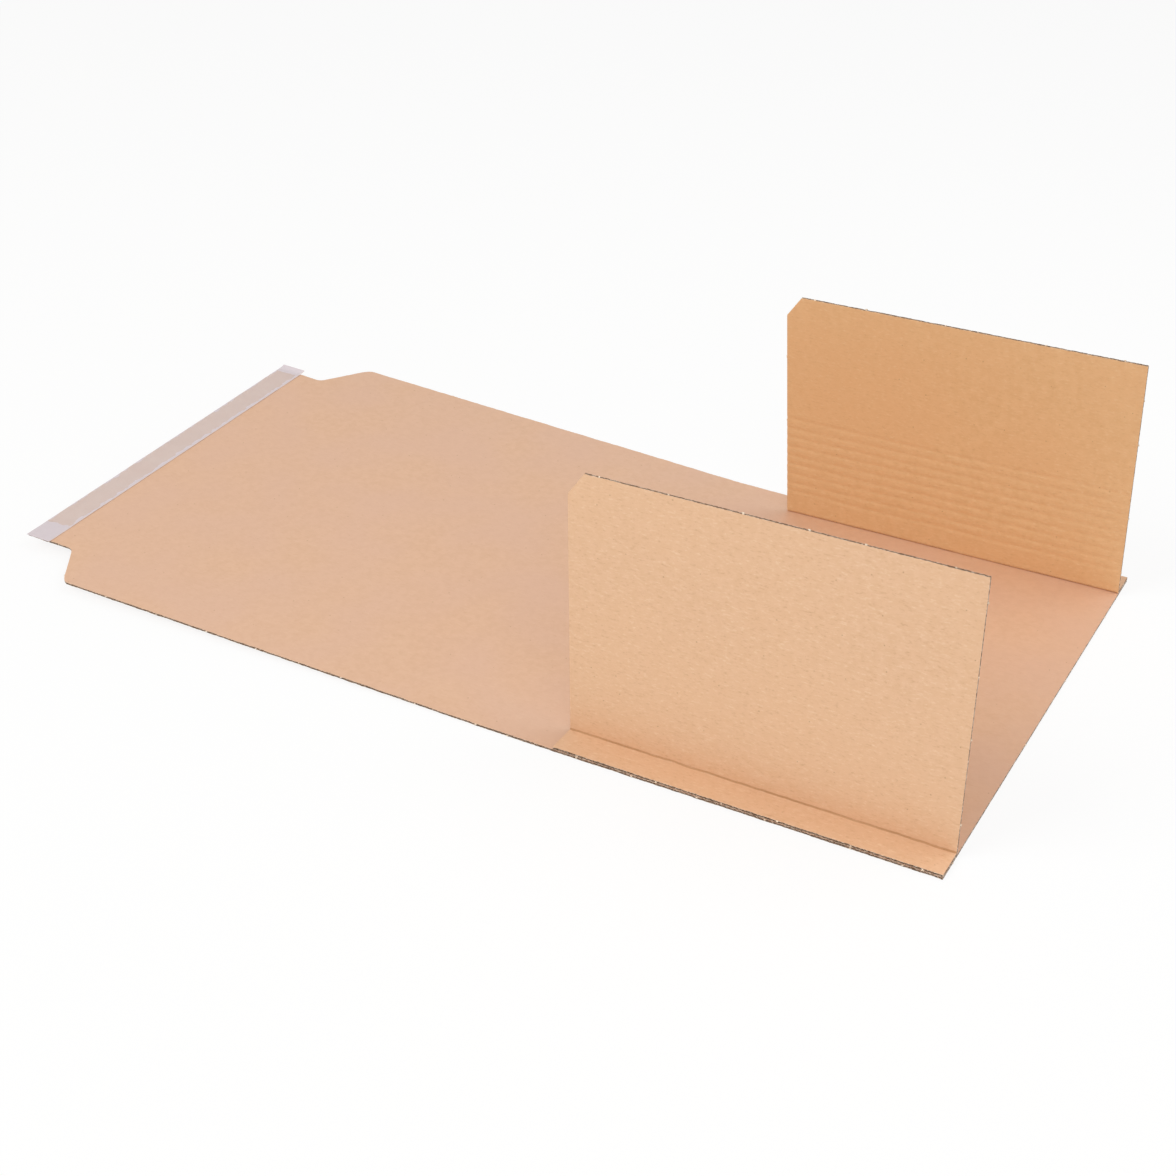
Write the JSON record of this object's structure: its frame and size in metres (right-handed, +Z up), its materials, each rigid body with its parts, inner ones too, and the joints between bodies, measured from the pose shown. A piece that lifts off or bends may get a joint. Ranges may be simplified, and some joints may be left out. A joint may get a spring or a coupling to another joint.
{
  "type": "wraparound book mailer",
  "caption": "Wraparound book mailer of corrugated board, lying open, with folding side flaps at its bay and a self-adhesive closure tab.",
  "frame": {"origin": "middle of the wrap sheet's underside, which lies on the table", "axes": "+X along the wrap from the closure tab to the book bay, +Y across the wrap along its flutes, +Z up"},
  "size_m": [0.655, 0.342, 0.1685],
  "materials": {
    "inner_kraft": "machine-smooth kraft liner with a faint sheen",
    "outer_kraft": "matt kraft liner with fine fibres",
    "clear_adhesive": "clear glossy pressure-sensitive adhesive",
    "siliconised_film": "translucent silicone-coated film"
  },
  "bodies": {
    "wrap": {"wrap_sheet": "inner_kraft", "front_foot": "outer_kraft", "rear_foot": "outer_kraft", "adhesive_strip": "clear_adhesive", "release_film": "siliconised_film"},
    "front_side": {"front_flap": "outer_kraft"},
    "rear_side": {"rear_flap": "outer_kraft"}
  },
  "joints": [
    {"name": "front_fold", "type": "hinge", "parent": "wrap", "child": "front_side", "pos_m": [0.2125, -0.151, 0.0035], "axis": [-1, 0, 0], "range_deg": [-80, 86]},
    {"name": "rear_fold", "type": "hinge", "parent": "wrap", "child": "rear_side", "pos_m": [0.2125, 0.151, 0.0035], "axis": [1, 0, 0], "range_deg": [-87, 77]}
  ]
}
